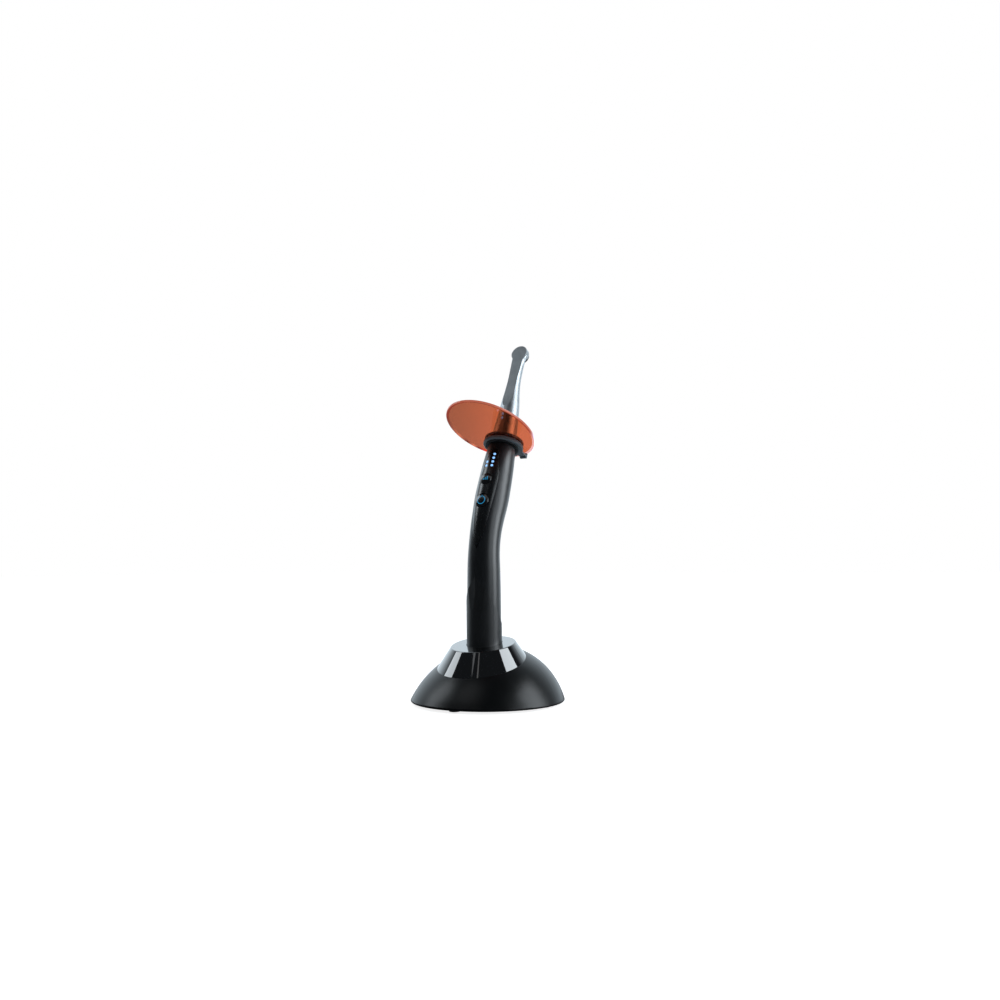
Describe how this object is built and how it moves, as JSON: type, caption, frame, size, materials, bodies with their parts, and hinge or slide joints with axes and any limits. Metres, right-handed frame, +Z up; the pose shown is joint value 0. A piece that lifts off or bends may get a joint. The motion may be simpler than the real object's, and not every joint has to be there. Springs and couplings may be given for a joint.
{
  "type": "dental curing light",
  "caption": "Cordless dental curing light with a bent black grip, metal neck, turning orange glare shield and round charging base with a gloss socket collar.",
  "frame": {"origin": "on the table, under the middle of the charging base's rim", "axes": "+Z up; -Y is the side with the buttons; +Y is the side the handpiece leans to and its light window faces; +X is to the right, seen from the buttons' side"},
  "size_m": [0.1178, 0.1236, 0.2845],
  "materials": {
    "dome_black": "satin moulded, fine grain",
    "collar_black": "high gloss",
    "inner_black": "moulded",
    "foot_rubber": "matt",
    "steel": "zinc plated",
    "board_green": "solder resist",
    "component_black": "moulded case",
    "contact_gold": "gold plated",
    "cell_wrap": "shrink-wrapped can",
    "lead_insulation": "extruded",
    "grip_black": "satin soft-touch",
    "panel_black": "high gloss",
    "button_black": "gloss",
    "mark_blue": "lit translucent inlay",
    "light_blue": "lit light pipe",
    "led_yellow": "clear over phosphor",
    "neck_metal": "satin anodised",
    "spreader_metal": "machined",
    "reflector_metal": "polished",
    "lens_clear": "polished",
    "ring_black": "gloss",
    "seal_rubber": "matt",
    "liner_grey": "soft, matt",
    "collar_grey": "satin moulded",
    "shield_orange": "clear orange, polished"
  },
  "bodies": {
    "base": {"base_dome": "dome_black", "base_collar": "collar_black", "socket_cup": "inner_black", "base_plate": "inner_black", "ballast_plate": "steel", "rubber_feet": "foot_rubber", "base_screws": "steel", "charger_board": "board_green", "charger_components": "component_black", "power_inlet": "component_black", "inlet_pin": "contact_gold", "charge_pin_barrels": "contact_gold", "charge_pin_spring_left": "steel", "charge_pin_spring_right": "steel"},
    "charge_pin_left": {"charge_pin_left": "contact_gold"},
    "charge_pin_right": {"charge_pin_right": "contact_gold"},
    "handpiece": {"body_shell": "grip_black", "tail_sleeve": "grip_black", "tail_cap": "grip_black", "charge_pads": "contact_gold", "tail_board": "board_green", "battery_spring": "steel", "battery_cell": "cell_wrap", "battery_cradle": "inner_black", "battery_contact": "contact_gold", "battery_leads": "lead_insulation", "control_panel": "panel_black", "indicator_lights": "light_blue", "indicator_leds": "led_yellow", "main_board": "board_green", "board_carrier": "inner_black", "board_components": "component_black", "button_switches": "component_black", "buzzer": "component_black", "neck_seal": "seal_rubber", "neck_screws": "steel", "head_shell": "neck_metal", "heat_spreader": "spreader_metal", "emitter_leads": "lead_insulation", "emitter_board": "board_green", "emitter_led": "led_yellow", "reflector": "reflector_metal", "light_lens": "lens_clear", "head_window_ring": "ring_black"},
    "power_button": {"power_button": "button_black", "power_button_mark": "mark_blue"},
    "mode_button": {"mode_button": "button_black", "mode_button_mark": "mark_blue"},
    "collar_liner": {"collar_liner": "liner_grey"},
    "shield": {"shield_collar": "collar_grey", "shield_clamp_ring": "collar_grey", "light_shield": "shield_orange"}
  },
  "joints": [
    {"name": "handpiece_lift", "type": "slide", "parent": "base", "child": "handpiece", "axis": [0, 0, 1], "range_m": [0, 0.06]},
    {"name": "charge_pin_left_press", "type": "slide", "parent": "base", "child": "charge_pin_left", "axis": [0, 0, -1], "range_m": [0, 0.0008], "stiffness_N_per_m": 300, "deforming": ["charge_pin_spring_left"]},
    {"name": "charge_pin_right_press", "type": "slide", "parent": "base", "child": "charge_pin_right", "axis": [0, 0, -1], "range_m": [0, 0.0008], "stiffness_N_per_m": 300, "deforming": ["charge_pin_spring_right"]},
    {"name": "power_button_press", "type": "slide", "parent": "handpiece", "child": "power_button", "axis": [0, 0.9252, -0.3795], "range_m": [0, 0.0005], "stiffness_N_per_m": 400},
    {"name": "mode_button_press", "type": "slide", "parent": "handpiece", "child": "mode_button", "axis": [0, 0.9252, -0.3795], "range_m": [0, 0.0005], "stiffness_N_per_m": 400},
    {"name": "shield_pull_off", "type": "slide", "parent": "handpiece", "child": "collar_liner", "axis": [0, 0.3795, 0.9252], "range_m": [0, 0.1]},
    {"name": "shield_turn", "type": "hinge", "parent": "collar_liner", "child": "shield", "pos_m": [0, 0.02608, 0.19858], "axis": [0, 0.3795, 0.9252], "continuous": true}
  ]
}
